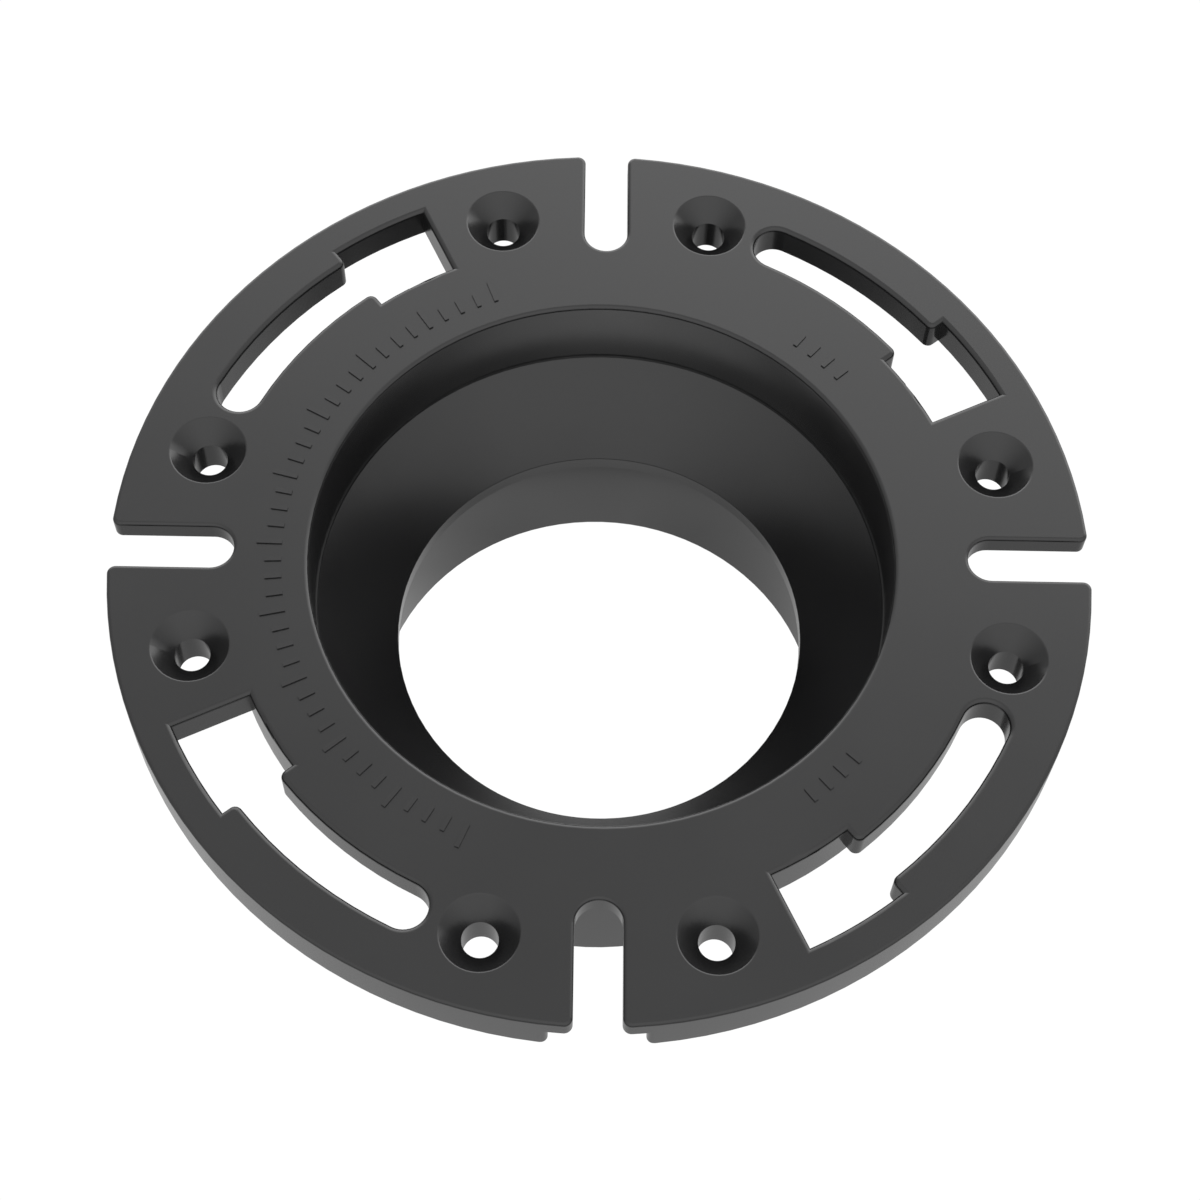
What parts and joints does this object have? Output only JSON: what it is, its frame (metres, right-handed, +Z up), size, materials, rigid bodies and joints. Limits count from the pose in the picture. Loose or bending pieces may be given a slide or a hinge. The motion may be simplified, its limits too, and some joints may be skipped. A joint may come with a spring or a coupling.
{
  "type": "closet flange",
  "caption": "Black plastic closet flange that anchors a toilet to the floor and joins it to a drain pipe, with open bolt slots, keyhole slots and countersunk screw holes",
  "frame": {"origin": "centre of the hub's open end, on the flange's axis", "axes": "+Z up along the axis, out of the ring's top face; +X and +Y each through an open bolt slot"},
  "size_m": [0.1774, 0.1774, 0.0702],
  "materials": {
    "black_plastic": "satin moulded black ABS"
  },
  "bodies": {
    "root": {"closet_flange": "black_plastic"}
  },
  "joints": []
}
